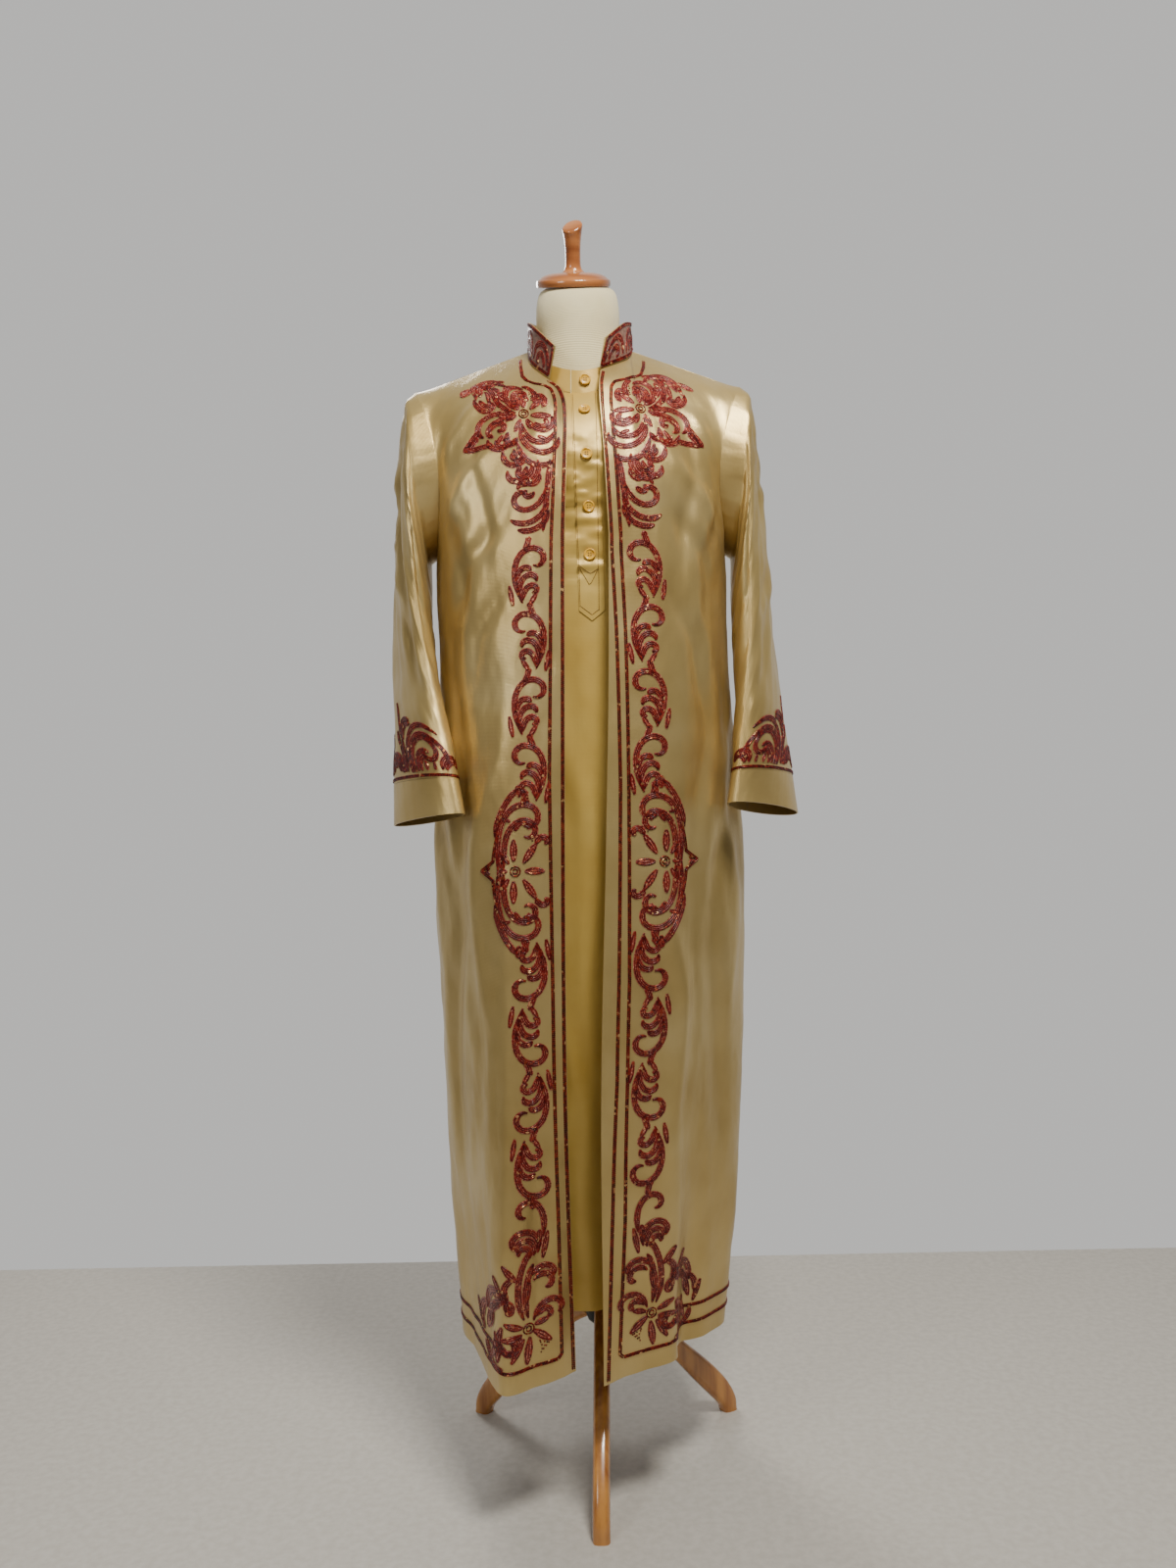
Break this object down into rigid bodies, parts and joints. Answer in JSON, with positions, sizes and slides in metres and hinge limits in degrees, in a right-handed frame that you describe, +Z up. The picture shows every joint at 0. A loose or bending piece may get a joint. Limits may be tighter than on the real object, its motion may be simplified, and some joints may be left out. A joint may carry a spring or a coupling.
{
  "type": "thobe and open embroidered robe on a dress form",
  "caption": "Ankle-length buttoned shirt under a full-length open satin robe with a stand collar, long sleeves and beaded scroll borders, on a limbless dress form with a wooden tripod.",
  "frame": {"origin": "on the floor at the centre of the footprint of the form, its stand and the clothes", "axes": "+Z up; the wearer faces -Y; the wearer's left is +X"},
  "size_m": [0.55, 0.4042, 1.694],
  "materials": {
    "robe_satin": "glossy satin weave",
    "red_beads": "dark red beadwork",
    "thobe_cloth": "soft sheen",
    "buttons": "pearly",
    "jersey": "matt knit",
    "turned_wood": "glossy varnish",
    "leg_wood": "varnish",
    "stand_metal": "black"
  },
  "bodies": {
    "root": {"robe_front_right": "robe_satin", "robe_front_left": "robe_satin", "robe_back": "robe_satin", "robe_sleeve_right": "robe_satin", "robe_sleeve_left": "robe_satin", "robe_cuff_right": "robe_satin", "robe_cuff_left": "robe_satin", "robe_collar": "robe_satin", "braid_edge_right": "red_beads", "braid_edge_left": "red_beads", "braid_inner_right": "red_beads", "braid_inner_left": "red_beads", "braid_hem_right": "red_beads", "braid_hem_left": "red_beads", "braid_hem_lower_back": "red_beads", "braid_hem_upper_back": "red_beads", "braid_neck_back": "red_beads", "braid_collar": "red_beads", "braid_cuff_right": "red_beads", "braid_cuff_left": "red_beads", "embroidery_front_right": "red_beads", "embroidery_front_left": "red_beads", "embroidery_cuff_right": "red_beads", "embroidery_cuff_left": "red_beads", "thobe_front": "thobe_cloth", "thobe_back": "thobe_cloth", "thobe_sleeve_right": "thobe_cloth", "thobe_sleeve_left": "thobe_cloth", "thobe_neckband": "thobe_cloth", "thobe_placket": "thobe_cloth", "thobe_button_1": "buttons", "thobe_button_2": "buttons", "thobe_button_3": "buttons", "thobe_button_4": "buttons", "thobe_button_5": "buttons", "form_torso": "jersey", "form_cap": "turned_wood", "form_finial": "turned_wood", "stand_pole": "stand_metal", "stand_hub": "stand_metal", "stand_leg_front": "leg_wood", "stand_leg_right": "leg_wood", "stand_leg_left": "leg_wood"}
  },
  "joints": []
}
